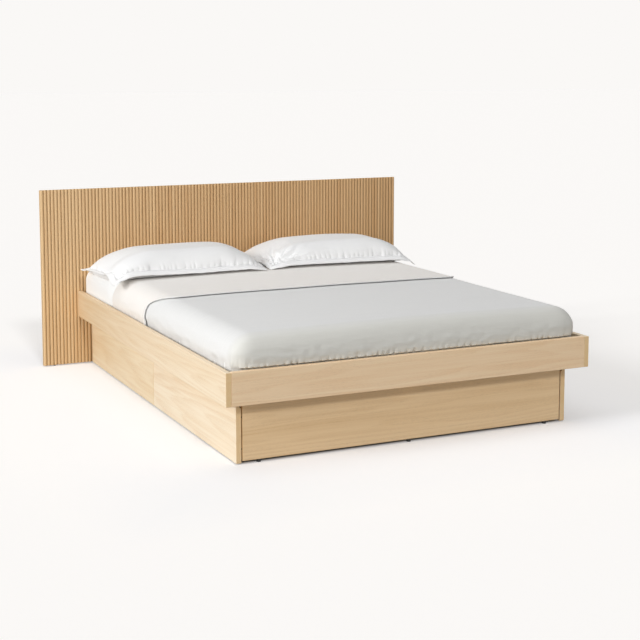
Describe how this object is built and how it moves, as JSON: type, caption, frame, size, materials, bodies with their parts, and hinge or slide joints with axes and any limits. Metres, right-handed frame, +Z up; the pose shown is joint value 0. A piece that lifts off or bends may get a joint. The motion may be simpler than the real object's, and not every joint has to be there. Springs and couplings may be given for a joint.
{
  "type": "platform storage bed",
  "caption": "Low oak platform bed with a wide reeded headboard, an overhanging mattress tray on a set-back base with side drawers, and made-up bedding.",
  "frame": {"origin": "on the floor, at the middle of the bed's overall length and width", "axes": "+X to the right seen from the foot, +Y towards the headboard, +Z up"},
  "size_m": [2.0182, 2.0992, 0.9],
  "materials": {
    "oak_veneer": "clear matt lacquer on light oak, grain along the board",
    "oak_slats": "clear matt lacquer on half-round oak slats",
    "oak_board": "clear matt lacquer on oak veneer, upright grain",
    "pine": "planed, unfinished",
    "birch_board": "sanded veneered board",
    "birch_ply": "sanded, clear sealed",
    "zinc_steel": "zinc plated",
    "slide_steel": "bright zinc plated, rolled",
    "glide_plastic": "moulded black",
    "bumper_rubber": "soft matt",
    "mattress_ticking": "knitted ticking",
    "white_cotton": "crisp plain-weave cotton",
    "grey_linen": "washed plain-weave linen, warmer on the reverse"
  },
  "bodies": {
    "root": {"centre_beam": "pine", "corner_blocks": "pine", "corner_screws": "zinc_steel", "drawer_bumpers": "bumper_rubber", "duvet": "grey_linen", "fitted_sheet": "white_cotton", "floor_glides": "glide_plastic", "foot_panel": "oak_veneer", "foot_rail": "oak_veneer", "head_panel": "birch_board", "head_rail": "pine", "headboard_bolts": "zinc_steel", "headboard_glides": "glide_plastic", "headboard_panel": "oak_board", "headboard_slats": "oak_slats", "ledger_left": "pine", "ledger_right": "pine", "mattress": "mattress_ticking", "mattress_slats": "pine", "mid_partition": "birch_board", "pillow_left": "white_cotton", "pillow_right": "white_cotton", "side_rail_left": "oak_veneer", "side_rail_right": "oak_veneer", "slide_cabinet_members": "slide_steel", "spine_foot": "birch_board", "spine_head": "birch_board"},
    "drawer_left_head": {"drawer_left_head_front": "oak_veneer", "drawer_left_head_side_head": "birch_ply", "drawer_left_head_side_foot": "birch_ply", "drawer_left_head_back": "birch_ply", "drawer_left_head_bottom": "birch_ply", "drawer_left_head_runners": "slide_steel"},
    "slide_middle_left_head": {"slide_middle_left_head": "slide_steel"},
    "drawer_left_foot": {"drawer_left_foot_front": "oak_veneer", "drawer_left_foot_side_head": "birch_ply", "drawer_left_foot_side_foot": "birch_ply", "drawer_left_foot_back": "birch_ply", "drawer_left_foot_bottom": "birch_ply", "drawer_left_foot_runners": "slide_steel"},
    "slide_middle_left_foot": {"slide_middle_left_foot": "slide_steel"},
    "drawer_right_head": {"drawer_right_head_front": "oak_veneer", "drawer_right_head_side_head": "birch_ply", "drawer_right_head_side_foot": "birch_ply", "drawer_right_head_back": "birch_ply", "drawer_right_head_bottom": "birch_ply", "drawer_right_head_runners": "slide_steel"},
    "slide_middle_right_head": {"slide_middle_right_head": "slide_steel"},
    "drawer_right_foot": {"drawer_right_foot_front": "oak_veneer", "drawer_right_foot_side_head": "birch_ply", "drawer_right_foot_side_foot": "birch_ply", "drawer_right_foot_back": "birch_ply", "drawer_right_foot_bottom": "birch_ply", "drawer_right_foot_runners": "slide_steel"},
    "slide_middle_right_foot": {"slide_middle_right_foot": "slide_steel"}
  },
  "joints": [
    {"name": "drawer_left_head_slide", "type": "slide", "parent": "root", "child": "drawer_left_head", "axis": [-1, 0, 0], "range_m": [0, 0.56]},
    {"name": "slide_middle_left_head_slide", "type": "slide", "parent": "root", "child": "slide_middle_left_head", "axis": [-1, 0, 0], "range_m": [0, 0.28]},
    {"name": "drawer_left_foot_slide", "type": "slide", "parent": "root", "child": "drawer_left_foot", "axis": [-1, 0, 0], "range_m": [0, 0.56]},
    {"name": "slide_middle_left_foot_slide", "type": "slide", "parent": "root", "child": "slide_middle_left_foot", "axis": [-1, 0, 0], "range_m": [0, 0.28]},
    {"name": "drawer_right_head_slide", "type": "slide", "parent": "root", "child": "drawer_right_head", "axis": [1, 0, 0], "range_m": [0, 0.56]},
    {"name": "slide_middle_right_head_slide", "type": "slide", "parent": "root", "child": "slide_middle_right_head", "axis": [1, 0, 0], "range_m": [0, 0.28]},
    {"name": "drawer_right_foot_slide", "type": "slide", "parent": "root", "child": "drawer_right_foot", "axis": [1, 0, 0], "range_m": [0, 0.56]},
    {"name": "slide_middle_right_foot_slide", "type": "slide", "parent": "root", "child": "slide_middle_right_foot", "axis": [1, 0, 0], "range_m": [0, 0.28]}
  ],
  "couplings": [
    {"joint": "slide_middle_left_head_slide", "follows": "drawer_left_head_slide", "ratio": 0.5},
    {"joint": "slide_middle_left_foot_slide", "follows": "drawer_left_foot_slide", "ratio": 0.5},
    {"joint": "slide_middle_right_head_slide", "follows": "drawer_right_head_slide", "ratio": 0.5},
    {"joint": "slide_middle_right_foot_slide", "follows": "drawer_right_foot_slide", "ratio": 0.5}
  ]
}
